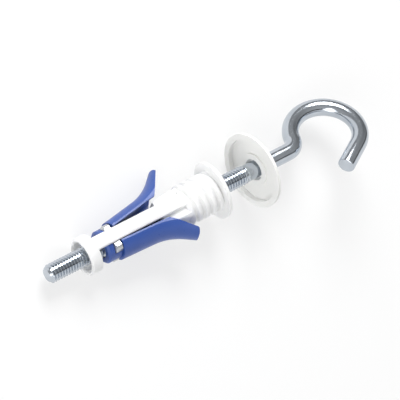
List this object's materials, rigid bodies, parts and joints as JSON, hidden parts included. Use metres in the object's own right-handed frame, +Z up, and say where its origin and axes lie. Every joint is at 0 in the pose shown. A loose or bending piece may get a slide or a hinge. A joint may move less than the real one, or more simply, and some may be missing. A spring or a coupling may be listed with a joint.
{
  "type": "plasterboard anchor with hook",
  "caption": "Hollow-wall anchor with a flanged, coarse-threaded sleeve, spreading wings drawn up by a nut, a round hook on a threaded bolt and a loose cover rosette.",
  "frame": {"origin": "on the surface that the anchor rests on, under the middle of its bounding box", "axes": "+Z up; +X along the bolt towards the hook, in plan; the wing named upper points to +Y and touches the surface, the one named lower points to -Y and upwards"},
  "size_m": [0.1194, 0.0272, 0.0264],
  "materials": {
    "white_nylon": "satin moulded nylon",
    "zinc_steel": "bright zinc plated",
    "nut_steel": "zinc plated",
    "blue_plastic": "satin moulded",
    "cream_plastic": "satin moulded"
  },
  "bodies": {
    "frame": {"anchor_frame": "white_nylon"},
    "bolt": {"hook_bolt": "zinc_steel"},
    "nut_block": {"nut": "nut_steel", "nut_carrier": "blue_plastic"},
    "wing_up": {"wing_upper": "blue_plastic"},
    "wing_down": {"wing_lower": "blue_plastic"},
    "cover": {"rosette": "cream_plastic"}
  },
  "joints": [
    {"name": "bolt_turn", "type": "hinge", "parent": "frame", "child": "bolt", "pos_m": [0.00225, -0.00018, 0.01069], "axis": [-0.9957, 0, -0.0928], "range_deg": [-144, 4680]},
    {"name": "nut_travel", "type": "slide", "parent": "frame", "child": "nut_block", "axis": [0.9957, 0, 0.0928], "range_m": [-0.00042, 0.01302]},
    {"name": "wing_upper_hinge", "type": "hinge", "parent": "nut_block", "child": "wing_up", "pos_m": [-0.03497, 0.00466, 0.00481], "axis": [-0.0831, 0.4446, 0.8918], "range_deg": [-1.8, 52.2]},
    {"name": "wing_lower_hinge", "type": "hinge", "parent": "nut_block", "child": "wing_down", "pos_m": [-0.03541, -0.00501, 0.00959], "axis": [0.0831, -0.4446, -0.8918], "range_deg": [-1.8, 52.2]},
    {"name": "rosette_slide", "type": "slide", "parent": "bolt", "child": "cover", "axis": [0.9957, 0, 0.0928], "range_m": [-0.0134, 0.011]}
  ],
  "couplings": [
    {"joint": "nut_travel", "follows": "bolt_turn", "m_per_rad": 0.00015915},
    {"joint": "wing_upper_hinge", "follows": "bolt_turn", "ratio": 0.011111},
    {"joint": "wing_lower_hinge", "follows": "bolt_turn", "ratio": 0.011111}
  ]
}
